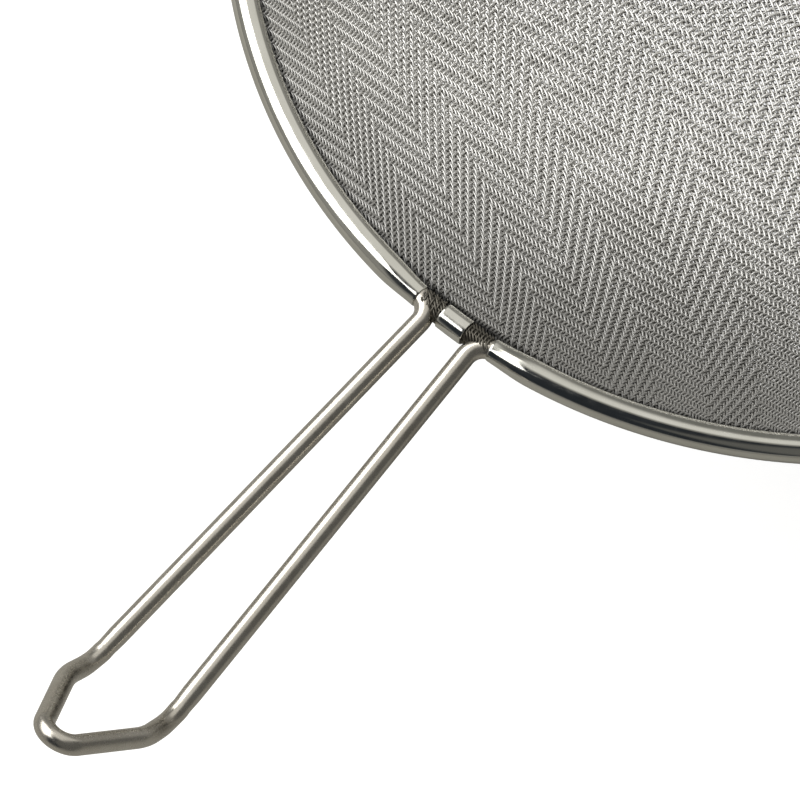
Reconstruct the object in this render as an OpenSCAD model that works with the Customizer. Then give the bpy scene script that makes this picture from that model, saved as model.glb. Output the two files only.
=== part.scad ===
// Double sieve strainer for honey: a shallow upper sieve with one wire handle rests on the rim of a
// deeper lower sieve, whose two side handles lie across the mouth of a bucket or tank.
// +Z is up. The origin is the centre of the upper rim, in the plane of its wire.
// The upper handle points to -Y, and the lower handles point to -X and +X.

/* [Rims] */
// Outside diameter of the upper rim
upper_rim_od = 240; // [200:1:260]
// How much smaller the lower rim is than the upper one, on the radius
rim_step = 2.6; // [2.0:0.1:2.8]
// Outside diameter of the rolled rim channel's section
channel_d = 5.6; // [5.6:0.1:6.4]
// Thickness of the rim channel's sheet
channel_t = 0.3; // [0.2:0.05:0.4]
// Clear width between the two ends of the channel at a handle
channel_gap = 17.6; // [17:0.2:22]
// Length of the short clip in that gap
clip_l = 5.8; // [4:0.2:7]

/* [Frame wire] */
// Diameter of the wire that makes a handle and its half of the hoop
wire_d = 4; // [3.6:0.1:4]
// Gap between the ends of the hoop wire, inside the channel
hoop_end_gap = 0.6; // [0.2:0.1:2]

/* [Handle] */
// Half of the spacing between the legs, centre to centre, where they leave the rim
leg_half_spacing = 5.55; // [5:0.05:7]
// Angle by which each leg leans away from the handle's middle
leg_lean = 2.42; // [1:0.02:3]
// Centre line radius of the bend from the hoop into a leg
root_bend_r = 4.2; // [3.5:0.1:5]
// Distance from the rim's outside to where the legs bend upwards
leg_reach = 88; // [60:1:140]
// Angle of the bent-up end above the rim's plane
tip_rise = 42; // [20:1:60]
// Centre line radius of the upward bend
tip_bend_r = 10; // [6:1:20]
// Length of leg between the upward bend and the corner of the end
corner_reach = 4.7; // [4:0.1:8]
// Centre line radius of the corner
corner_r = 12; // [6:1:14]
// Angle between a side of the end's V and the handle's middle
vee_angle = 20.8; // [18:0.1:30]
// Centre line radius of the rounded end
apex_r = 4.2; // [3.5:0.1:5]

/* [Bowls] */
// Thickness of the woven wire sheet
mesh_t = 0.42; // [0.3:0.02:0.42]
// Slope of the upper bowl's wall at its rim
upper_slope = 47.4; // [40:0.2:60]
// Slope of the lower bowl's wall at its rim
lower_slope = 70; // [60:0.5:80]

/* [Hidden] */
$fn = 96;

// Clearance between pieces that are pressed together
fit_gap = 0.04;
// Two steps of a wire stop this far short of each other's end, and a collar this much larger than
// the wire on the radius, and this long each way, joins them into one solid
joint_gap = 0.05;
collar_rise = 0.02;
collar_l = 0.15;
channel_r = channel_d / 2;
upper_hoop_r = upper_rim_od / 2 - channel_r;
lower_hoop_r = upper_hoop_r - rim_step;
// The upper channel's section rests on the lower one's, a little inwards of it
lower_z = -sqrt(pow(channel_d, 2) - pow(rim_step, 2)) - fit_gap;
// Distance from the wire's centre to the middle of the mesh sheet that passes over it
sheet_offset = wire_d / 2 + fit_gap + mesh_t / 2;
// The channel's upper lip covers this much of the sheet, and its mouth is open below that
lip_cover = 0.7;

// Direction of a handle's bent-up leg, as the lean and the slope of a wire already leaning in plan
tip_lean = atan(tan(leg_lean) * cos(tip_rise));
tip_turn = asin(cos(tip_lean) * sin(tip_rise));
tip_roll = atan2(cos(tip_rise), sin(tip_lean) * sin(tip_rise));

steel = [0.72, 0.70, 0.66];
polished = [0.84, 0.83, 0.80];
woven = [0.66, 0.66, 0.65];

// An arc of wire about +Z, which starts at the origin and runs along +X, between two of its angles
module wire_arc(bend_r, first, last, section_r) {
    translate([0, bend_r, 0])
        rotate([0, 0, first - 90])
            rotate_extrude(angle = last - first)
                translate([bend_r, 0])
                    circle(r = section_r);
}

// The collars at both ends of an arc, which overlap the steps before and after it
module arc_collars(bend_r, first, last) {
    reach = asin(collar_l / bend_r);
    for (joint = [first, last])
        wire_arc(bend_r, joint - reach, joint + reach, wire_d / 2 + collar_rise);
}

// One step of a wire: a straight length if turn is 0, or else an arc of that radius and turn.
// The wire runs along +X and turns towards +Y.
module wire_step(size, turn) {
    if (turn == 0)
        translate([joint_gap, 0, 0])
            rotate([0, 90, 0])
                cylinder(d = wire_d, h = size - 2 * joint_gap);
    else {
        short = asin(joint_gap / size);
        wire_arc(size, short, turn - short, wire_d / 2);
    }
}

// Moves its children to the end of a step
module after_step(size, turn) {
    if (turn == 0)
        translate([size, 0, 0])
            children();
    else
        translate([0, size, 0])
            rotate([0, 0, turn])
                translate([0, -size, 0])
                    children();
}

// A bent wire from a list of steps [size, turn, roll], each rolled about the wire before it is
// drawn. Every arc but a last one has its collars.
module bent_wire(steps, i = 0) {
    if (i < len(steps))
        rotate([steps[i][2], 0, 0]) {
            wire_step(steps[i][0], steps[i][1]);
            if (steps[i][1] != 0 && i < len(steps) - 1)
                arc_collars(steps[i][0], 0, steps[i][1]);
            after_step(steps[i][0], steps[i][1])
                bent_wire(steps, i + 1);
        }
}

// A whole frame wire: a handle to -Y, with an arc of hoop on each side of it that ends hoop_end
// degrees from the handle
module frame_wire(hoop_r, hoop_end) {
    rim_r = hoop_r + channel_r;
    // Perpendicular distance of the leg's centre line from the origin
    leg_offset = leg_half_spacing * cos(leg_lean) - rim_r * sin(leg_lean);
    // Where the hoop ends and the root bend begins, in degrees from the handle's middle
    root_angle = leg_lean + asin((leg_offset + root_bend_r) / (hoop_r + root_bend_r));
    root_y = (hoop_r + root_bend_r) * cos(root_angle) + root_bend_r * sin(leg_lean);
    fold_y = rim_r + leg_reach;
    leg_l = (fold_y - root_y) / cos(leg_lean);
    // The end of the upward bend
    bend_run = tip_bend_r * sin(tip_turn);
    bend_x = leg_half_spacing + leg_reach * tan(leg_lean) + bend_run * sin(leg_lean);
    bend_y = fold_y + bend_run * cos(leg_lean);
    bend_z = tip_bend_r * (1 - cos(tip_turn));
    // In the plane of the bent-up end, measured from there: the corner's vertex and the apex arc
    corner_x = bend_x + corner_reach * tan(tip_lean);
    corner_cut = corner_r * tan((vee_angle + tip_lean) / 2);
    apex_mid = (corner_x * cos(vee_angle) - apex_r) / sin(vee_angle) + corner_reach;
    apex_reach = apex_mid + apex_r;
    apex_half = 90 - vee_angle;
    vee_side = (apex_mid + apex_r * sin(vee_angle) - corner_reach) / cos(vee_angle) - corner_cut;
    straight = corner_reach / cos(tip_lean) - corner_cut;
    translate([0, -bend_y - apex_reach * cos(tip_rise), bend_z + apex_reach * sin(tip_rise)])
        rotate([-tip_rise, 0, 0]) {
            wire_arc(apex_r, -apex_half, apex_half, wire_d / 2);
            arc_collars(apex_r, -apex_half, apex_half);
            for (side = [0, 1])
                mirror([side, 0, 0])
                    after_step(apex_r, apex_half)
                        bent_wire([
                            [vee_side, 0, 0],
                            [corner_r, vee_angle + tip_lean, 0],
                            [straight, 0, 0],
                            [tip_bend_r, tip_turn, tip_roll],
                            [leg_l, 0, 0],
                            [root_bend_r, 90 - root_angle + leg_lean, 90],
                            [hoop_r, hoop_end - root_angle, 180]
                        ]);
        }
}

// Section of the rolled channel, open where the sheet goes in
module channel_section(hoop_r, slope) {
    difference() {
        translate([hoop_r, 0])
            circle(r = channel_r);
        translate([hoop_r, 0])
            circle(r = channel_r - channel_t);
        translate([hoop_r, 0])
            rotate(90 + slope) {
                slot_low = sheet_offset - mesh_t / 2 - 1.5 * fit_gap;
                slot_high = sheet_offset + mesh_t / 2 + fit_gap;
                translate([slot_low, 0])
                    square([slot_high - slot_low, channel_d]);
                translate([slot_low, lip_cover])
                    square([channel_d, channel_d]);
            }
    }
}

// A length of rolled channel, centred on the direction from, in degrees, and half_angle each way
module channel_arc(hoop_r, slope, middle, half_angle) {
    rotate([0, 0, middle - half_angle])
        rotate_extrude(angle = 2 * half_angle)
            channel_section(hoop_r, slope);
}

// Half of the angle that a straight width across the rim takes up
function half_angle_of(width, hoop_r) = asin(width / 2 / hoop_r);

// A spherical bowl of woven sheet, whose edge folds over the inner top of the hoop wire
module mesh_bowl(hoop_r, slope) {
    // The sheet's normal meets the hoop wire's centre, so the bowl is tangent to the fold
    ball_r = hoop_r / sin(slope) - sheet_offset;
    ball_z = hoop_r / tan(slope);
    // The fold is a little thicker than the sheet and starts a little way down it
    fold_t = mesh_t + 0.02;
    fold_start = slope + 6;
    rotate_extrude() {
        intersection() {
            translate([0, ball_z])
                difference() {
                    circle(r = ball_r + mesh_t / 2);
                    circle(r = ball_r - mesh_t / 2);
                }
            polygon([
                [0, ball_z],
                [ball_z * tan(slope) * 2, -ball_z],
                [0, -ball_z - 2 * ball_r]
            ]);
        }
        translate([hoop_r, 0])
            intersection() {
                difference() {
                    circle(r = sheet_offset + fold_t / 2);
                    circle(r = sheet_offset - fold_t / 2);
                }
                polygon([
                    [0, 0],
                    [0, channel_d],
                    [-channel_d * sin(fold_start), channel_d * cos(fold_start)]
                ]);
            }
    }
}

module upper_frame_wire() {
    color(steel)
        frame_wire(upper_hoop_r, 180 - half_angle_of(hoop_end_gap, upper_hoop_r));
}

module upper_rim_channel() {
    color(polished)
        channel_arc(upper_hoop_r, upper_slope, 90, 180 - half_angle_of(channel_gap, upper_hoop_r));
}

module upper_gap_clip() {
    color(polished)
        channel_arc(upper_hoop_r, upper_slope, -90, half_angle_of(clip_l, upper_hoop_r));
}

module upper_mesh_bowl() {
    color(woven)
        mesh_bowl(upper_hoop_r, upper_slope);
}

// The wire of one lower handle, with a quarter of the hoop on each side
module lower_wire(direction) {
    color(steel)
        translate([0, 0, lower_z])
            rotate([0, 0, direction + 90])
                frame_wire(lower_hoop_r, 90 - half_angle_of(hoop_end_gap, lower_hoop_r));
}

module lower_channel(direction) {
    color(polished)
        translate([0, 0, lower_z])
            channel_arc(lower_hoop_r, lower_slope, direction,
                90 - half_angle_of(channel_gap, lower_hoop_r));
}

module lower_clip(direction) {
    color(polished)
        translate([0, 0, lower_z])
            channel_arc(lower_hoop_r, lower_slope, direction, half_angle_of(clip_l, lower_hoop_r));
}

module lower_left_wire() {
    lower_wire(180);
}

module lower_right_wire() {
    lower_wire(0);
}

module lower_front_channel() {
    lower_channel(-90);
}

module lower_back_channel() {
    lower_channel(90);
}

module lower_left_clip() {
    lower_clip(180);
}

module lower_right_clip() {
    lower_clip(0);
}

module lower_mesh_bowl() {
    color(woven)
        translate([0, 0, lower_z])
            mesh_bowl(lower_hoop_r, lower_slope);
}

upper_frame_wire();
upper_rim_channel();
upper_gap_clip();
upper_mesh_bowl();
lower_left_wire();
lower_right_wire();
lower_front_channel();
lower_back_channel();
lower_left_clip();
lower_right_clip();
lower_mesh_bowl();
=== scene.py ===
"""Looks of the double sieve strainer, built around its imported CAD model. Lengths are in metres."""
import math

import bpy
import numpy as np
from mathutils import Matrix, Vector


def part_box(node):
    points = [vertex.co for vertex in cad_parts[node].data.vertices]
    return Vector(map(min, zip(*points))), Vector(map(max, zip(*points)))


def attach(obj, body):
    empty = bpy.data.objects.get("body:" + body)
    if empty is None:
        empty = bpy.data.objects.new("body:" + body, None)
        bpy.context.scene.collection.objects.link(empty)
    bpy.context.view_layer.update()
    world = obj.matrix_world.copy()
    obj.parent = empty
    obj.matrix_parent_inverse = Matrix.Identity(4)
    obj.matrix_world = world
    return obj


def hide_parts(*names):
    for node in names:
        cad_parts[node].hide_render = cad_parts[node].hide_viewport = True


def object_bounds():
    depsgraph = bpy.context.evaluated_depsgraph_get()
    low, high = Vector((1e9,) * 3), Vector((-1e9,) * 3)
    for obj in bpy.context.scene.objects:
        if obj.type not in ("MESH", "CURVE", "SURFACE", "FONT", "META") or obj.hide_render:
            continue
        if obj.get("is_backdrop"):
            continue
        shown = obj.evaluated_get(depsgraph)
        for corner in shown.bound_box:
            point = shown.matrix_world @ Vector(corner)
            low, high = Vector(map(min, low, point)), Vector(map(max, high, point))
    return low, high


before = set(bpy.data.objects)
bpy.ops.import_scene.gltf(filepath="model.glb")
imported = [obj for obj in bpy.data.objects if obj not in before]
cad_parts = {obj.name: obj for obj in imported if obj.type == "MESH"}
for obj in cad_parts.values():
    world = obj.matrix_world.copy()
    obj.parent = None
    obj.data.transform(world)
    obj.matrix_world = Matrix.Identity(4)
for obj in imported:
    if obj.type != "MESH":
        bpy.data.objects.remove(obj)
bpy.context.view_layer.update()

MM = 0.001
DEG = math.pi / 180

# Sizes that follow the CAD model
RIM_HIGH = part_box("upper_rim_channel")[1]
CHANNEL_R = RIM_HIGH.z
UPPER_HOOP_R = RIM_HIGH.x - CHANNEL_R
LOWER_LOW, LOWER_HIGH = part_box("lower_front_channel")
LOWER_Z = (LOWER_LOW.z + LOWER_HIGH.z) / 2
LOWER_HOOP_R = -LOWER_LOW.y - CHANNEL_R
WIRE_R = -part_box("upper_frame_wire")[0].z
CHANNEL_T = 0.3 * MM
GAP_W = 17.6 * MM
CLIP_L = 5.8 * MM

# Directions seen from above. The upper handle points to the front.
FRONT, RIGHT, BACK, LEFT = -math.pi / 2, 0, math.pi / 2, math.pi

# The handle, as a bent wire
LEG_HALF_SPACING = 5.55 * MM
LEG_LEAN = 2.42 * DEG
ROOT_BEND_R = 4.2 * MM
LEG_REACH = 88 * MM
TIP_RISE = 42 * DEG
TIP_BEND_R = 10 * MM
CORNER_REACH = 4.7 * MM
CORNER_R = 12 * MM
VEE_ANGLE = 20.8 * DEG
APEX_R = 4.2 * MM
HOOP_END_GAP = 0.6 * MM

# How finely wires are drawn, and how the die marked them at the bend towards the tip, which is
# step 4 of frame_wire_path
STRAIGHT_STEP = 3 * MM
BEND_STEP = 2.5 * DEG
WIRE_SIDES = 40
CAP_SHARE = 0.001
TIP_BEND_NUMBER = 4
PRESS_DEPTH, PRESS_L = 0.05, 2.6 * MM
NICK_DEPTH, NICK_L = 0.055, 0.7 * MM

# The rolled strip of the rims and clips
CLIP_R = 2.62 * MM
LIP_COVER = 15 * DEG
LOWER_LIP = -math.pi + 0.02
SECTION_STEPS = 72
LIP_STEPS = 7
RIM_STEP = 1.5 * MM
END_L = 5.6 * MM
END_RUNS = np.array([0, 0.05, 0.12, 0.25, 0.5, 0.9, 1.4, 2.0, 2.8, 3.6, 4.6]) * MM
END_CLEAR = 0.2 * MM
RIM_SQUEEZE, SQUEEZE_L = 0.45 * MM, 9 * MM
CUT_DEPTH, CUT_L = 0.06 * MM, 0.16 * MM

# The bowls
UPPER_SLOPE = 47.4 * DEG
LOWER_SLOPE = 70 * DEG
SHEET_OFFSET = 2.25 * MM

# Where a cloth ends, past the line where its bowl meets the rim
GAP_MARGIN = 1.0 * MM
CLOTH_END_IN_GAP, CLOTH_END_IN_RIM = -0.4 * MM, 1.2 * MM
HEM_START, HEM_END = -1.8 * MM, SHEET_OFFSET * 4.4

# How the rim presses a cloth down and flattens its crimp
PRESSED_L = 2.8 * MM
PRESSED_CRIMP = 0.5
RIM_SINK = 0.8 * MM
GAP_SINK = 0.3 * MM
HEM_SINK = 0.45 * MM

# The upper cloth, a herringbone twill. Its bows are per metre.
WARP_PITCH, WEFT_PITCH = 0.923 * MM, 1.34 * MM
WARP_R, WEFT_R = 0.255 * MM, 0.265 * MM
WARP_DIRECTION = -29.4 * DEG
BAND_WARPS = 16
BOW_ALONG, BOW_ACROSS = 2.49, 1.89
CROWDING = 0.448
FLOAT_ARCH, CROSSING_LIFT = 1.18, 0.88

# The lower cloth, a finer plain weave
FINE_PITCH = 0.95 * MM
FINE_R = 0.15 * MM
FINE_DIRECTION = 45 * DEG

# How far a flat cloth is laid out past its rim, how its places are found on the bowl, and how it
# is split. Places that can't be found are put FAR_OUT, which is no part of the bowl.
CLOTH_MARGIN, FINE_MARGIN = 1.08, 1.1
NEWTON_STEPS = 12
USUAL_GROWTH = 1.3
MISS = 0.001 * MM
FAR_OUT = 1.0
TINY = 1e-12
PIECE_QUADS = 95_000

# The cloths' roughness, and the painted shade in their colour, in the crease by the rim and towards
# the handle. NO_CREASE is a radius beyond the whole strainer.
CLOTH_ROUGHNESS = 0.46
# Painted shade in the crease by the rim: its inset, its length and how deep it gets
CREASE_INSET = 2.6 * MM
CREASE_L = 1.6 * MM
CREASE_SHADE = 0.22
NO_CREASE = 1.0
# Painted shade towards the handle: its direction, where it starts and ends, and how deep it gets
HANDLE_SHADE_AZIMUTH = -62 * DEG
HANDLE_SHADE_START, HANDLE_SHADE_END = 36 * MM, 100 * MM
PAINTED_HANDLE_SHADE = 0.56

# The floor, the studio and its light
FLOOR_HALF_W = 4.0
FLOOR_DROP = 0.2 * MM
FLOOR_COLOUR = (0.45, 0.44, 0.41)
FLOOR_ROUGHNESS = 0.9
FLOOR_GLOW = 0.9
WALL_COLOUR = (0.30, 0.295, 0.28)
WHITE = (1, 1, 1)

# Soft cards: azimuth, elevation, half width, half height and soft edge in degrees, then the shade
STUDIO_CARDS = (
    ((-80, 46, 26, 34, 10), (0.024, 0.028, 0.034)),
    ((0, 40, 48, 34, 12), (0.13, 0.13, 0.125)),
    ((124, 26, 6, 20, 6), (0.20, 0.20, 0.19)),
    ((92, 55, 16, 26, 10), (0.80, 0.79, 0.76)),
)
CARD_MIN_DEPTH, CARD_FRONT = 0.02, 0.1

# A Mix node's colour sockets come after its number and vector sockets
MIX_SHARE, MIX_A, MIX_B, MIX_RESULT = 0, 6, 7, 2


# ---------------------------------------------------------------- nodes

def toward(azimuth, elevation):
    """The unit vector in a direction."""
    flat = math.cos(elevation)
    return Vector((math.cos(azimuth) * flat, math.sin(azimuth) * flat, math.sin(elevation)))


def math_node(tree, operation, first, second=None):
    """The result of a maths node on one or two numbers, each a constant or another node's output."""
    node = tree.nodes.new("ShaderNodeMath")
    node.operation = operation
    for socket, value in zip(node.inputs, (first, second)):
        if isinstance(value, (int, float)):
            socket.default_value = value
        elif value is not None:
            tree.links.new(value, socket)
    return node.outputs[0]


def vector_node(tree, operation, vector, constant=None):
    """A vector maths node on another node's vector and perhaps a constant one."""
    node = tree.nodes.new("ShaderNodeVectorMath")
    node.operation = operation
    tree.links.new(vector, node.inputs[0])
    if constant is not None:
        node.inputs[1].default_value = constant
    return node


def dot_node(tree, vector, axis):
    return vector_node(tree, "DOT_PRODUCT", vector, axis).outputs["Value"]


def fade(tree, value, start, end, last=0.0):
    """1 below start and last above end, smooth in between."""
    node = tree.nodes.new("ShaderNodeMapRange")
    node.interpolation_type = "SMOOTHSTEP"
    node.inputs["From Min"].default_value = start
    node.inputs["From Max"].default_value = end
    node.inputs["To Min"].default_value = 1
    node.inputs["To Max"].default_value = last
    tree.links.new(value, node.inputs["Value"])
    return node.outputs["Result"]


def noise_node(tree, where, scale, detail):
    node = tree.nodes.new("ShaderNodeTexNoise")
    node.inputs["Scale"].default_value = scale
    node.inputs["Detail"].default_value = detail
    tree.links.new(where, node.inputs["Vector"])
    return node.outputs["Fac"]


def noise_ramp(tree, where, scale, detail, dark, light):
    """A colour that noise moves between a dark and a light one."""
    ramp = tree.nodes.new("ShaderNodeValToRGB")
    for element, position, colour in zip(ramp.color_ramp.elements, (0.3, 0.7), (dark, light)):
        element.position = position
        element.color = (*colour, 1)
    tree.links.new(noise_node(tree, where, scale, detail), ramp.inputs["Fac"])
    return ramp.outputs["Color"]


def bump_node(tree, height, strength):
    """A normal that follows a height of at most 0.02 mm."""
    node = tree.nodes.new("ShaderNodeBump")
    node.inputs["Strength"].default_value = strength
    node.inputs["Distance"].default_value = 0.02 * MM
    tree.links.new(height, node.inputs["Height"])
    return node.outputs["Normal"]


def mix_node(tree, share, colour, shade):
    """Another node's colour, which share turns into a plain shade."""
    node = tree.nodes.new("ShaderNodeMix")
    node.data_type = "RGBA"
    tree.links.new(share, node.inputs[MIX_SHARE])
    tree.links.new(colour, node.inputs[MIX_A])
    node.inputs[MIX_B].default_value = (*shade, 1)
    return node.outputs[MIX_RESULT]


def object_coordinates(tree, stretch=(1, 1, 1)):
    source = tree.nodes.new("ShaderNodeTexCoord")
    mapping = tree.nodes.new("ShaderNodeMapping")
    mapping.inputs["Scale"].default_value = stretch
    tree.links.new(source.outputs["Object"], mapping.inputs["Vector"])
    return mapping.outputs["Vector"]


# ---------------------------------------------------------------- materials

def new_material(name):
    """A material, its node tree and its shader."""
    material = bpy.data.materials.new(name)
    material.use_nodes = True
    return material, material.node_tree, material.node_tree.nodes["Principled BSDF"]


def smooth_steel(name, where_stretch, colours, colour_scale, roughnesses, roughness_scale, bumps):
    """Solid steel with fine variations. bumps is the scale and the strength of its grain."""
    material, tree, shader = new_material(name)
    where = object_coordinates(tree, where_stretch)
    greys = [(roughness,) * 3 for roughness in roughnesses]
    bump_scale, bump_strength = bumps
    shader.inputs["Metallic"].default_value = 1
    tree.links.new(noise_ramp(tree, where, colour_scale, 4, *colours), shader.inputs["Base Color"])
    tree.links.new(noise_ramp(tree, where, roughness_scale, 2, *greys), shader.inputs["Roughness"])
    height = noise_node(tree, where, bump_scale, 3)
    tree.links.new(bump_node(tree, height, bump_strength), shader.inputs["Normal"])
    return material


def wire_steel():
    """Satin drawn wire, a little warm, with fine grain."""
    return smooth_steel(
        "wire_steel", (1, 1, 1),
        colours=((0.56, 0.525, 0.46), (0.64, 0.61, 0.545)), colour_scale=170,
        roughnesses=(0.22, 0.31), roughness_scale=700, bumps=(1200, 0.025))


def rim_steel():
    """Bright rolled strip with faint rolling marks."""
    return smooth_steel(
        "rim_steel", (1, 1, 6),
        colours=((0.64, 0.63, 0.57), (0.72, 0.71, 0.655)), colour_scale=90,
        roughnesses=(0.07, 0.15), roughness_scale=400, bumps=(500, 0.08))


def cloth_steel(name, dark, light, edge_r):
    """Woven stainless wire with duller patches. Painted shade in its colour follows the real cloth's
    shading: it dims towards the handle, and in the crease at its edge, fully from edge_r out."""
    material, tree, shader = new_material(name)
    where = object_coordinates(tree)
    colour = noise_ramp(tree, where, 60, 6, dark, light)
    flat = vector_node(tree, "MULTIPLY", where, (1, 1, 0)).outputs["Vector"]
    out = vector_node(tree, "LENGTH", flat).outputs["Value"]
    # Painted shade: the colour dims in the crease where the cloth meets the rim
    crease = fade(tree, out, edge_r - CREASE_L, edge_r, CREASE_SHADE)
    # Painted shade: the colour dims towards the handle, where the real cloth lies in shade
    handle_side = dot_node(tree, where, toward(HANDLE_SHADE_AZIMUTH, 0))
    handle_shade = fade(tree, handle_side, HANDLE_SHADE_START, HANDLE_SHADE_END, PAINTED_HANDLE_SHADE)
    darker = vector_node(tree, "SCALE", colour)
    tree.links.new(math_node(tree, "MULTIPLY", crease, handle_shade), darker.inputs["Scale"])
    tree.links.new(darker.outputs["Vector"], shader.inputs["Base Color"])
    shader.inputs["Metallic"].default_value = 1
    shader.inputs["Roughness"].default_value = CLOTH_ROUGHNESS
    return material


WIRE_STEEL = wire_steel()
RIM_STEEL = rim_steel()
UPPER_CLOTH_STEEL = cloth_steel("upper_cloth_steel", (0.84, 0.83, 0.80), (0.92, 0.91, 0.88),
                                UPPER_HOOP_R - CREASE_INSET)
# Painted shade: the hem's steel is a far darker copy of the cloth's, for the shade and dark
# reflections in its fold
SHADED_HEM_STEEL = cloth_steel("shaded_hem_steel", (0.20, 0.185, 0.15), (0.30, 0.28, 0.24), NO_CREASE)
# Painted shade: the lower cloth's colour is about half the upper's, for the shade it lies in under the
# upper bowl
SHADED_LOWER_CLOTH_STEEL = cloth_steel("shaded_lower_cloth_steel", (0.40, 0.385, 0.355), (0.47, 0.455, 0.42),
                                LOWER_HOOP_R - CREASE_INSET)


# ---------------------------------------------------------------- meshes

def new_mesh(name, points, quads, material):
    """A smooth mesh from an array of points and an array of quads."""
    mesh = bpy.data.meshes.new(name)
    points = np.asarray(points, np.float32).reshape(-1, 3)
    quads = np.asarray(quads, np.int32).reshape(-1, 4)
    mesh.vertices.add(len(points))
    mesh.vertices.foreach_set("co", points.ravel())
    mesh.loops.add(quads.size)
    mesh.loops.foreach_set("vertex_index", quads.ravel())
    mesh.polygons.add(len(quads))
    mesh.polygons.foreach_set("loop_start", np.arange(0, quads.size, 4, dtype=np.int32))
    mesh.polygons.foreach_set("use_smooth", np.ones(len(quads), bool))
    mesh.update(calc_edges=True)
    mesh.materials.append(material)
    piece = bpy.data.objects.new(name, mesh)
    bpy.context.scene.collection.objects.link(piece)
    return piece


def tube_faces(rings, sides):
    """Quads along a row of closed rings of points."""
    i, j = np.meshgrid(np.arange(rings - 1), np.arange(sides), indexing="ij")
    i, j = i.ravel() * sides, j.ravel()
    j2 = (j + 1) % sides
    return np.stack([i + j, i + j2, i + sides + j2, i + sides + j], 1)


def put(piece, body, node):
    """Makes a piece ride on its body in place of its CAD node."""
    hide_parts(node)
    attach(piece, body)


# ---------------------------------------------------------------- bowls

class Bowl:
    """A spherical bowl whose sheet runs on over the top of its hoop wire. Places on it are given by
    the distance from its middle along the sheet and by the direction. gaps are the directions of
    its rim's gaps."""

    def __init__(self, hoop_r, slope, height, gaps):
        self.hoop_r, self.slope, self.height, self.gaps = hoop_r, slope, height, gaps
        self.ball_r = hoop_r / math.sin(slope) - SHEET_OFFSET
        self.ball_z = hoop_r / math.tan(slope)
        self.rim_run = self.ball_r * slope

    def place(self, run, direction, lift):
        """Points at a distance run from the middle, lifted off the sheet towards the inside."""
        theta = np.minimum(run, self.rim_run) / self.ball_r
        over = np.maximum(run - self.rim_run, 0) / SHEET_OFFSET
        ball = self.ball_r - lift
        r_ball, z_ball = ball * np.sin(theta), self.ball_z - ball * np.cos(theta)
        phi = math.pi / 2 + self.slope - over
        r_fold = self.hoop_r + (SHEET_OFFSET + lift) * np.cos(phi)
        z_fold = (SHEET_OFFSET + lift) * np.sin(phi)
        r = np.where(over > 0, r_fold, r_ball)
        z = np.where(over > 0, z_fold, z_ball) + self.height
        return np.stack([r * np.cos(direction), r * np.sin(direction), z], -1)

    def half_angle(self, width):
        """Half of the angle that a width takes up along the hoop."""
        return math.asin(width / 2 / self.hoop_r)

    def in_gap(self, direction):
        """Where a direction lies in one of the rim's gaps."""
        half = self.half_angle(GAP_W - GAP_MARGIN)
        found = np.zeros(direction.shape, bool)
        for middle in self.gaps:
            off = np.abs((direction - middle + math.pi) % (2 * math.pi) - math.pi)
            found |= off < half
        return found

    def cloth_area(self, run, direction):
        """Where the cloth is. It ends inside the channel, and at the hem in a gap."""
        end = np.where(self.in_gap(direction), CLOTH_END_IN_GAP, CLOTH_END_IN_RIM)
        return run < self.rim_run + end

    def hem_area(self, run, direction):
        """Where the cloth's folded edge is, in a gap only."""
        over = run - self.rim_run
        return self.in_gap(direction) & (over > HEM_START) & (over < HEM_END)


UPPER_BOWL = Bowl(UPPER_HOOP_R, UPPER_SLOPE, 0, [FRONT])
LOWER_BOWL = Bowl(LOWER_HOOP_R, LOWER_SLOPE, LOWER_Z, [RIGHT, LEFT])


# ---------------------------------------------------------------- bent wires

def trace(start, steps):
    """Points along a wire that starts along +X of start and follows steps of (size, turn, roll).
    Returns the points and each one's step number."""
    place = start.copy()
    points, numbers = [place.translation.copy()], [0]
    for number, (size, turn, roll) in enumerate(steps):
        place = place @ Matrix.Rotation(roll, 4, "X")
        count = max(1, math.ceil(turn / BEND_STEP if turn else size / STRAIGHT_STEP))
        for k in range(1, count + 1):
            share = k / count
            if turn:
                angle = turn * share
                offset = Vector((size * math.sin(angle), size * (1 - math.cos(angle)), 0))
                spin = Matrix.Rotation(angle, 4, "Z")
            else:
                offset = Vector((size * share, 0, 0))
                spin = Matrix.Identity(4)
            there = place @ Matrix.Translation(offset) @ spin
            points.append(there.translation.copy())
            numbers.append(number)
        place = there
    return points, numbers


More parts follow.
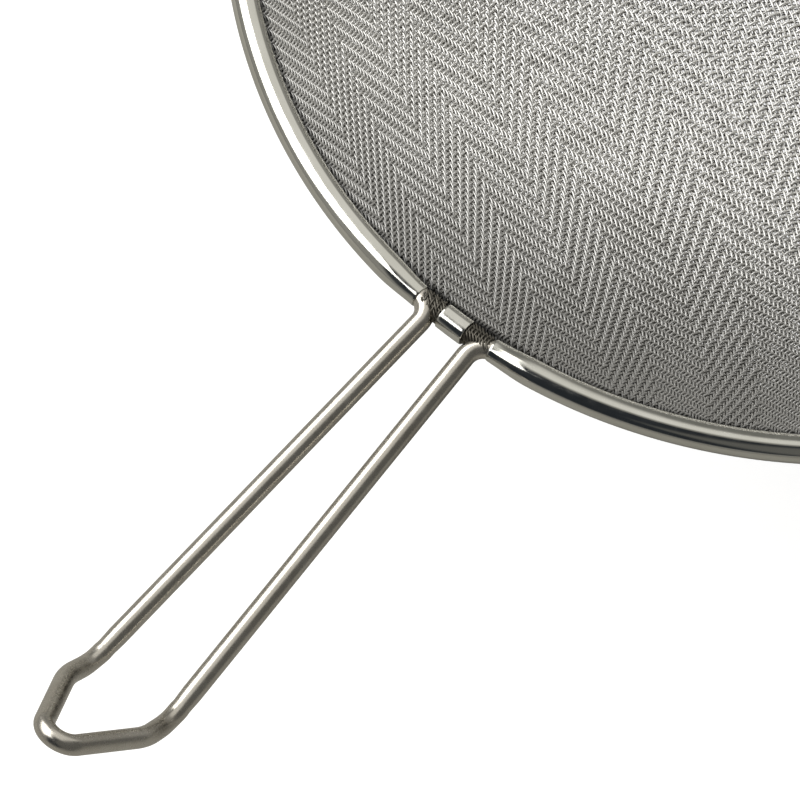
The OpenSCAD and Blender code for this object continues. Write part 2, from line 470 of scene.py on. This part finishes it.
def frame_wire_path(hoop_r, hoop_end):
    """One side of a frame wire, from the middle of the handle's rounded end to the end of its hoop,
    with the handle to -Y. Follows the CAD model's bends."""
    tip_lean = math.atan(math.tan(LEG_LEAN) * math.cos(TIP_RISE))
    tip_turn = math.asin(math.cos(tip_lean) * math.sin(TIP_RISE))
    tip_roll = math.atan2(math.cos(TIP_RISE), math.sin(tip_lean) * math.sin(TIP_RISE))
    rim_r = hoop_r + CHANNEL_R
    leg_offset = LEG_HALF_SPACING * math.cos(LEG_LEAN) - rim_r * math.sin(LEG_LEAN)
    root_angle = LEG_LEAN + math.asin((leg_offset + ROOT_BEND_R) / (hoop_r + ROOT_BEND_R))
    root_y = (hoop_r + ROOT_BEND_R) * math.cos(root_angle) + ROOT_BEND_R * math.sin(LEG_LEAN)
    fold_y = rim_r + LEG_REACH
    leg_l = (fold_y - root_y) / math.cos(LEG_LEAN)
    bend_run = TIP_BEND_R * math.sin(tip_turn)
    bend_x = LEG_HALF_SPACING + LEG_REACH * math.tan(LEG_LEAN) + bend_run * math.sin(LEG_LEAN)
    bend_y = fold_y + bend_run * math.cos(LEG_LEAN)
    bend_z = TIP_BEND_R * (1 - math.cos(tip_turn))
    corner_x = bend_x + CORNER_REACH * math.tan(tip_lean)
    corner_cut = CORNER_R * math.tan((VEE_ANGLE + tip_lean) / 2)
    apex_mid = (corner_x * math.cos(VEE_ANGLE) - APEX_R) / math.sin(VEE_ANGLE) + CORNER_REACH
    apex_reach = apex_mid + APEX_R
    vee_run = apex_mid + APEX_R * math.sin(VEE_ANGLE) - CORNER_REACH
    vee_side = vee_run / math.cos(VEE_ANGLE) - corner_cut
    straight = CORNER_REACH / math.cos(tip_lean) - corner_cut
    start = Matrix.Translation((
        0,
        -bend_y - apex_reach * math.cos(TIP_RISE),
        bend_z + apex_reach * math.sin(TIP_RISE),
    )) @ Matrix.Rotation(-TIP_RISE, 4, "X")
    return trace(start, [
        (APEX_R, math.pi / 2 - VEE_ANGLE, 0),
        (vee_side, 0, 0),
        (CORNER_R, VEE_ANGLE + tip_lean, 0),
        (straight, 0, 0),
        (TIP_BEND_R, tip_turn, tip_roll),
        (leg_l, 0, 0),
        (ROOT_BEND_R, math.pi / 2 - root_angle + LEG_LEAN, math.pi / 2),
        (hoop_r, hoop_end - root_angle, math.pi),
    ])


def cap_ring(ring):
    """A ring drawn in almost to its middle, which closes a tube's end with quads."""
    middle = np.repeat(ring.mean(0)[None], len(ring), 0)
    return middle * (1 - CAP_SHARE) + ring * CAP_SHARE


def sweep(path, section_r, sides):
    """Rings of points around a path, turned as little as possible from one to the next, with a
    capping ring at each end."""
    tangents = np.gradient(path, axis=0)
    tangents /= np.linalg.norm(tangents, axis=1)[:, None]
    across = np.cross(tangents[0], (0, 0, 1))
    rings = []
    angles = np.arange(sides) * 2 * math.pi / sides
    for centre, tangent, radius in zip(path, tangents, section_r):
        across = across - tangent * (across @ tangent)
        across /= np.linalg.norm(across)
        third = np.cross(tangent, across)
        ring = np.outer(np.cos(angles), across) + np.outer(np.sin(angles), third)
        rings.append(centre + radius * ring)
    return np.concatenate([cap_ring(rings[0]), *rings, cap_ring(rings[-1])])


def frame_wire(name, bowl, facing, reach):
    """A frame wire whose handle points in the direction facing, and whose hoop goes round by the
    angle reach on each side of it. It is pressed a little flat where the die bent its end up."""
    half, numbers = frame_wire_path(bowl.hoop_r, reach - bowl.half_angle(HOOP_END_GAP))
    right = np.array([tuple(p) for p in half])
    left = right[:0:-1] * (-1, 1, 1)
    path = np.vstack([left, right])
    numbers = np.array(numbers[:0:-1] + numbers)
    gaps = np.linalg.norm(np.diff(path, axis=0), axis=1)
    run = np.concatenate([[0], np.cumsum(gaps)])
    section_r = np.full(len(path), WIRE_R)
    for side, inner_end in ((slice(0, len(left)), 0), (slice(len(left), len(path)), -1)):
        bend = np.flatnonzero(numbers[side] == TIP_BEND_NUMBER) + side.start
        middle, nick = run[bend].mean(), run[bend[inner_end]]
        section_r -= PRESS_DEPTH * WIRE_R * np.exp(-(((run - middle) / PRESS_L) ** 2))
        section_r -= NICK_DEPTH * WIRE_R * np.exp(-(((run - nick) / NICK_L) ** 2))
    points = sweep(path, section_r, WIRE_SIDES)
    spin = np.array(Matrix.Rotation(facing - FRONT, 3, "Z"))
    points = points @ spin.T + (0, 0, bowl.height)
    return new_mesh(name, points, tube_faces(len(path) + 2, WIRE_SIDES), WIRE_STEEL)


# ---------------------------------------------------------------- rolled rims and clips

def arc(radius, angles):
    return radius * np.stack([np.cos(angles), np.sin(angles)], 1)


def rolled_section(radius, first, last):
    """Outline of a rolled strip around the hoop's centre, from one lip's angle to the other's."""
    half_t = CHANNEL_T / 2
    outer = np.linspace(first, last, SECTION_STEPS)
    lip = np.linspace(0, math.pi, LIP_STEPS)[1:-1]

    def rounded(at, turn, angles):
        out = np.array([math.cos(at), math.sin(at)])
        along = np.array([math.sin(at), -math.cos(at)]) * turn
        return [out * (radius - half_t + half_t * math.cos(a)) + along * half_t * math.sin(a)
                for a in angles]

    return np.concatenate([
        arc(radius, outer),
        rounded(last, 1, lip),
        arc(radius - CHANNEL_T, outer[::-1]),
        rounded(first, -1, lip[::-1]),
    ])


def end_weighted(first, last, hoop_r):
    """Angles from first to last, closer together near both ends."""
    span = (last - first) * hoop_r
    if span > 2 * END_L:
        ends = END_RUNS
        inner = np.linspace(END_L, span - END_L, int(span / RIM_STEP))
    else:
        ends = END_RUNS[END_RUNS < span / 2 - END_CLEAR]
        inner = np.array([span / 2])
    run = np.concatenate([ends, inner, span - ends[::-1]])
    return first + run / hoop_r


def rolled_strip(name, bowl, middle, half_angle, radius, squeeze):
    """A length of rolled strip along a bowl's hoop. It narrows by squeeze at both ends, where it was
    pressed on the wire, and its cut edges are rounded."""
    first = math.pi / 2 + bowl.slope + LIP_COVER
    rings = []
    for angle in end_weighted(middle - half_angle, middle + half_angle, bowl.hoop_r):
        gap = (half_angle - abs(angle - middle)) * bowl.hoop_r
        share = min(1.0, gap / SQUEEZE_L)
        here = radius - squeeze * (1 - share * share * (3 - 2 * share))
        here -= CUT_DEPTH * math.exp(-2 * gap / CUT_L)
        section = rolled_section(here, first, LOWER_LIP)
        out, height = bowl.hoop_r + section[:, 0], bowl.height + section[:, 1]
        rings.append(np.stack([out * math.cos(angle), out * math.sin(angle), height], 1))
    sides = len(rings[0])
    caps = []
    for base in (0, (len(rings) - 1) * sides):
        for k in range(sides // 2 - 1):
            caps.append([base + k, base + k + 1, base + sides - 2 - k, base + sides - 1 - k])
    faces = np.concatenate([tube_faces(len(rings), sides), np.array(caps)])
    return new_mesh(name, np.concatenate(rings), faces, RIM_STEEL)


def rim(name, bowl, middle, reach):
    """A rolled rim that reaches from its middle to the gaps on both sides."""
    return rolled_strip(name, bowl, middle, reach - bowl.half_angle(GAP_W), CHANNEL_R, RIM_SQUEEZE)


def clip(name, bowl, middle):
    """The clip in the middle of a gap."""
    return rolled_strip(name, bowl, middle, bowl.half_angle(CLIP_L), CLIP_R, 0)


# ---------------------------------------------------------------- woven cloth

class BowedWeave:
    """How the upper cloth lies on its bowl. Both sets of wires bow out towards the handle, and crowd
    together up the bowl's side."""

    def __init__(self, bowl, direction):
        self.bowl, self.direction = bowl, direction
        self.crowding = CROWDING / bowl.hoop_r ** 2

    def bowed(self, w, f):
        return w - BOW_ALONG * f * f, f - BOW_ACROSS * w * w

    def reach(self):
        """Half sizes of the flat cloth that covers the bowl and its fold."""
        turn = np.linspace(0, 2 * math.pi, 361)
        edge = self.bowl.hoop_r * CLOTH_MARGIN
        w, f = edge * np.cos(turn), edge * np.sin(turn)
        grow = 1 + self.crowding * (w * w + f * f)
        u, v = self.bowed(w * grow, f * grow)
        return np.abs(u).max(), np.abs(v).max()

    def place(self, u, v):
        """The run and direction on the bowl of places in the flat cloth, by Newton's method. Places
        where that fails are put far out."""
        w, f = u.astype(float), v.astype(float)
        for _ in range(NEWTON_STEPS):
            there_u, there_v = self.bowed(w, f)
            du, dv = there_u - u, there_v - v
            u_f, v_w = -2 * BOW_ALONG * f, -2 * BOW_ACROSS * w
            whole = 1 - u_f * v_w
            w, f = w - (du - u_f * dv) / whole, f - (dv - v_w * du) / whole
        there_u, there_v = self.bowed(w, f)
        missed = np.hypot(there_u - u, there_v - v)
        wide = np.where(missed < MISS, np.hypot(w, f), FAR_OUT)
        out = wide / USUAL_GROWTH
        for _ in range(NEWTON_STEPS):
            out -= (out + self.crowding * out ** 3 - wide) / (1 + 3 * self.crowding * out ** 2)
        rim_out = self.bowl.ball_r * math.sin(self.bowl.slope)
        inside = self.bowl.ball_r * np.arcsin(np.minimum(out, rim_out) / self.bowl.ball_r)
        run = inside + np.maximum(out - rim_out, 0) / math.cos(self.bowl.slope)
        return run, self.direction - np.arctan2(f, w)


class RadialWeave:
    """How the lower cloth lies on its bowl. Its wires keep their pitch along every line out from the
    bowl's middle."""

    def __init__(self, bowl, direction):
        self.bowl, self.direction = bowl, direction

    def reach(self):
        return self.bowl.rim_run * FINE_MARGIN, self.bowl.rim_run * FINE_MARGIN

    def place(self, u, v):
        return np.hypot(u, v), self.direction - np.arctan2(v, u)


def twill_over(weft, warp):
    """1 where the warp passes over the weft, and -1 where it passes under. Each warp starts one
    weft on from the last, and the direction of that turns round at every band of warps."""
    step = BAND_WARPS - np.abs(warp % (2 * BAND_WARPS) - BAND_WARPS)
    return np.where((weft + step) % 4 < 2, 1.0, -1.0)


def plain_over(weft, warp):
    return np.where((weft + warp) % 2 == 0, 1.0, -1.0)


def arched(height):
    """Lifts along wires from their lifts at the crossings, with one more place between each two
    crossings. A wire's float over two crossings is arched."""
    after = np.roll(height, -1, axis=1)
    between = np.where(height * after > 0, FLOAT_ARCH * height, (height + after) / 2)
    full = np.empty((height.shape[0], 2 * height.shape[1]))
    full[:, 0::2] = CROSSING_LIFT * height
    full[:, 1::2] = between
    return full


def counted(reach, pitch):
    """The numbers of the wires on both sides of the middle one."""
    most = int(reach / pitch)
    return np.arange(-most, most + 1)


def unit(vectors):
    return vectors / (np.linalg.norm(vectors, axis=-1)[..., None] + TINY)


class Cloth:
    """A cloth of round wires. over(weft, warp) is 1 where the warp is on top and -1 elsewhere, and
    has_floats is for wires that pass over two others at a time."""

    def __init__(self, weave, over, pitches, radii, sides, has_floats):
        self.weave, self.over = weave, over
        self.warp_pitch, self.weft_pitch = pitches
        self.warp_r, self.weft_r = radii
        self.sides, self.has_floats = sides, has_floats

    def centres(self, warps):
        """Where the warps or the wefts run: the run, direction and lift at each place along each
        wire, and the wire's number."""
        reach_u, reach_v = self.weave.reach()
        warp_numbers = counted(reach_v, self.warp_pitch)
        weft_numbers = counted(reach_u, self.weft_pitch)
        if warps:
            across, along = np.meshgrid(warp_numbers, weft_numbers, indexing="ij")
            lift = self.weft_r * self.over(along, across)
        else:
            across, along = np.meshgrid(weft_numbers, warp_numbers, indexing="ij")
            lift = -self.warp_r * self.over(across, along)
        if self.has_floats:
            lift = arched(lift)
            along = np.repeat(along, 2, axis=1) + np.tile([0.0, 0.5], along.shape[1])
            across = np.repeat(across, 2, axis=1)
        weft, warp = (along, across) if warps else (across, along)
        run, direction = self.weave.place(weft * self.weft_pitch, warp * self.warp_pitch)
        return run, direction, lift, across

    def wires(self, warps, inside, sink):
        """Vertices and quads of the warps or the wefts where inside(run, direction) is true, lowered
        by sink, and the number of each quad's wire."""
        bowl = self.weave.bowl
        wire_r = self.warp_r if warps else self.weft_r
        run, direction, lift, across = self.centres(warps)
        keep = inside(run, direction)
        share = np.clip((run - bowl.rim_run + PRESSED_L) / PRESSED_L, 0, 1)
        pressed = share * share * (3 - 2 * share)
        rim_sink = np.where(bowl.in_gap(direction), GAP_SINK, RIM_SINK)
        lift = lift * (1 - PRESSED_CRIMP * pressed) - rim_sink * pressed - sink
        centre = bowl.place(run, direction, lift)
        normal = unit(bowl.place(run, direction, MM) - bowl.place(run, direction, 0))
        tangent = unit(np.gradient(centre, axis=1))
        side = unit(np.cross(tangent, normal))
        up = np.cross(side, tangent)
        angles = ((np.arange(self.sides) + 0.5) * 2 * math.pi / self.sides)[None, :, None]
        rings = (
            centre[keep][:, None]
            + wire_r * np.cos(angles) * side[keep][:, None]
            + wire_r * np.sin(angles) * up[keep][:, None]
        )
        base = np.zeros(keep.shape, int)
        base[keep] = np.arange(keep.sum()) * self.sides
        both = keep[:, :-1] & keep[:, 1:]
        here, after = base[:, :-1][both][:, None], base[:, 1:][both][:, None]
        k = np.arange(self.sides)
        k2 = (k + 1) % self.sides
        quads = np.stack([here + k, after + k, after + k2, here + k2], -1)
        wire_of = np.repeat(across[:, :-1][both], self.sides)
        return rings.reshape(-1, 3), quads.reshape(-1, 4), wire_of


def whole_wires(name, material, points, quads, wire_of):
    """Splits one set of wires into pieces of whole wires with about PIECE_QUADS quads at most."""
    order, counts = np.unique(wire_of, return_counts=True)
    parts = math.ceil(counts.sum() / PIECE_QUADS)
    part_of = (np.cumsum(counts) - 1) * parts // counts.sum()
    pieces = []
    for part in range(parts):
        wires = order[part_of == part]
        chosen = quads[(wire_of >= wires.min()) & (wire_of <= wires.max())]
        used, local = np.unique(chosen, return_inverse=True)
        pieces.append(new_mesh(f"{name}_{part + 1}", points[used], local.reshape(-1, 4), material))
    return pieces


def put_cloth(sieve, cloth, area_name, material, inside, layer="", sink=0.0):
    """Puts a cloth's warps and wefts on a sieve, where inside(run, direction) is true."""
    for set_name, warps in (("warps", True), ("wefts", False)):
        wires = cloth.wires(warps, inside, sink)
        for piece in whole_wires(f"{sieve}_{area_name}_{set_name}{layer}", material, *wires):
            put(piece, f"{sieve}_sieve", f"{sieve}_mesh_bowl")


# ---------------------------------------------------------------- the strainer

put(frame_wire("upper_handle_and_hoop", UPPER_BOWL, FRONT, math.pi),
    "upper_sieve", "upper_frame_wire")
put(rim("upper_rolled_rim", UPPER_BOWL, BACK, math.pi),
    "upper_sieve", "upper_rim_channel")
put(clip("upper_clip_band", UPPER_BOWL, FRONT),
    "upper_sieve", "upper_gap_clip")
for side, direction in (("left", LEFT), ("right", RIGHT)):
    put(frame_wire(f"lower_{side}_handle_and_hoop", LOWER_BOWL, direction, math.pi / 2),
        "lower_sieve", f"lower_{side}_wire")
    put(clip(f"lower_{side}_clip_band", LOWER_BOWL, direction),
        "lower_sieve", f"lower_{side}_clip")
for side, direction in (("front", FRONT), ("back", BACK)):
    put(rim(f"lower_{side}_rolled_rim", LOWER_BOWL, direction, math.pi / 2),
        "lower_sieve", f"lower_{side}_channel")

UPPER_CLOTH = Cloth(BowedWeave(UPPER_BOWL, WARP_DIRECTION), twill_over,
                    (WARP_PITCH, WEFT_PITCH), (WARP_R, WEFT_R), sides=5, has_floats=True)
put_cloth("upper", UPPER_CLOTH, "cloth", UPPER_CLOTH_STEEL, UPPER_BOWL.cloth_area)
put_cloth("upper", UPPER_CLOTH, "hem", SHADED_HEM_STEEL, UPPER_BOWL.hem_area, "_1")
put_cloth("upper", UPPER_CLOTH, "hem", SHADED_HEM_STEEL, UPPER_BOWL.hem_area, "_2", HEM_SINK)

LOWER_CLOTH = Cloth(RadialWeave(LOWER_BOWL, FINE_DIRECTION), plain_over,
                    (FINE_PITCH, FINE_PITCH), (FINE_R, FINE_R), sides=4, has_floats=False)
put_cloth("lower", LOWER_CLOTH, "cloth", SHADED_LOWER_CLOTH_STEEL, LOWER_BOWL.cloth_area)
put_cloth("lower", LOWER_CLOTH, "hem", SHADED_HEM_STEEL, LOWER_BOWL.hem_area)


# ---------------------------------------------------------------- stage, light and camera

def add_floor(height):
    """A plain pale floor. The camera sees it white, and the metal sees it as it is lit."""
    corners = ((-1, -1), (1, -1), (1, 1), (-1, 1))
    points = [(x * FLOOR_HALF_W, y * FLOOR_HALF_W, height) for x, y in corners]
    material, tree, shader = new_material("floor_white")
    shader.inputs["Base Color"].default_value = (*FLOOR_COLOUR, 1)
    shader.inputs["Roughness"].default_value = FLOOR_ROUGHNESS
    shader.inputs["Specular IOR Level"].default_value = 0
    glow = tree.nodes.new("ShaderNodeEmission")
    glow.inputs["Color"].default_value = (*WHITE, 1)
    path = tree.nodes.new("ShaderNodeLightPath")
    strength = math_node(tree, "MULTIPLY", path.outputs["Is Camera Ray"], FLOOR_GLOW)
    tree.links.new(strength, glow.inputs["Strength"])
    total = tree.nodes.new("ShaderNodeAddShader")
    tree.links.new(shader.outputs["BSDF"], total.inputs[0])
    tree.links.new(glow.outputs["Emission"], total.inputs[1])
    tree.links.new(total.outputs["Shader"], tree.nodes["Material Output"].inputs["Surface"])
    new_mesh("floor", points, [[0, 1, 2, 3]], material)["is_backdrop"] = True


def add_softbox(azimuth, elevation, distance, size, radiance):
    """A big soft rectangular light that faces the object."""
    data = bpy.data.lights.new("softbox", "AREA")
    data.shape = "RECTANGLE"
    data.size, data.size_y = size
    data.energy = radiance * math.pi * size[0] * size[1]
    lamp = bpy.data.objects.new("softbox", data)
    lamp.location = toward(azimuth, elevation) * distance
    lamp.rotation_euler = toward(azimuth, elevation).to_track_quat("Z", "Y").to_euler()
    lamp.visible_camera = False
    bpy.context.scene.collection.objects.link(lamp)


def studio_card(tree, direction, colour, azimuth, elevation, half_w, half_h, soft, shade):
    """Lays a soft-edged rectangular card of one shade over the studio's surroundings."""
    out = toward(azimuth, elevation)
    side = Vector((-math.sin(azimuth), math.cos(azimuth), 0))
    up = out.cross(side)
    depth = dot_node(tree, direction, out)
    deep = math_node(tree, "MAXIMUM", depth, CARD_MIN_DEPTH)
    share = fade(tree, math_node(tree, "MULTIPLY", depth, -1.0), -CARD_FRONT, 0.0)
    for axis, half in ((side, half_w), (up, half_h)):
        across = math_node(tree, "DIVIDE", dot_node(tree, direction, axis), deep)
        edge = fade(tree, math_node(tree, "ABSOLUTE", across), math.tan(half), math.tan(half + soft))
        share = math_node(tree, "MULTIPLY", share, edge)
    return mix_node(tree, share, colour, shade)


def add_world():
    """A studio with grey walls and a few soft cards. The camera sees it as plain white."""
    world = bpy.data.worlds.new("studio")
    world.use_nodes = True
    bpy.context.scene.world = world
    tree = world.node_tree
    direction = tree.nodes.new("ShaderNodeTexCoord").outputs["Generated"]
    colour = tree.nodes.new("ShaderNodeRGB").outputs[0]
    colour.default_value = (*WALL_COLOUR, 1)
    for degrees, shade in STUDIO_CARDS:
        angles = [angle * DEG for angle in degrees]
        colour = studio_card(tree, direction, colour, *angles, shade)
    path = tree.nodes.new("ShaderNodeLightPath")
    seen = mix_node(tree, path.outputs["Is Camera Ray"], colour, WHITE)
    tree.links.new(seen, tree.nodes["Background"].inputs["Color"])


def add_camera():
    """A long lens high above the handle's right side, aimed near the handle's root."""
    azimuth, elevation, distance = 38.37 * DEG, 64 * DEG, 1.5
    frame_w = 155.55 * MM
    aside, below = -85.53 * MM, -99.61 * MM
    right = Vector((math.cos(azimuth), math.sin(azimuth), 0))
    back = toward(azimuth - math.pi / 2, elevation)
    up = back.cross(right)
    place = back * distance
    aim = right * aside + up * below
    out = (place - aim).normalized()
    x_axis = up.cross(out).normalized()
    y_axis = out.cross(x_axis)
    data = bpy.data.cameras.new("camera")
    data.sensor_width = 36
    data.lens = data.sensor_width * (place - aim).length / frame_w
    data.clip_start, data.clip_end = 0.05, 50
    camera = bpy.data.objects.new("camera", data)
    turn = Matrix((x_axis, y_axis, out)).transposed().to_4x4()
    camera.matrix_world = Matrix.Translation(place) @ turn
    bpy.context.scene.collection.objects.link(camera)
    bpy.context.scene.camera = camera


bpy.context.view_layer.update()
add_floor(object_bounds()[0].z - FLOOR_DROP)
add_world()
add_softbox(azimuth=192 * DEG, elevation=50 * DEG, distance=1.6, size=(1.9, 1.15), radiance=3.4)
add_camera()
bpy.context.scene.view_settings.view_transform = "Standard"
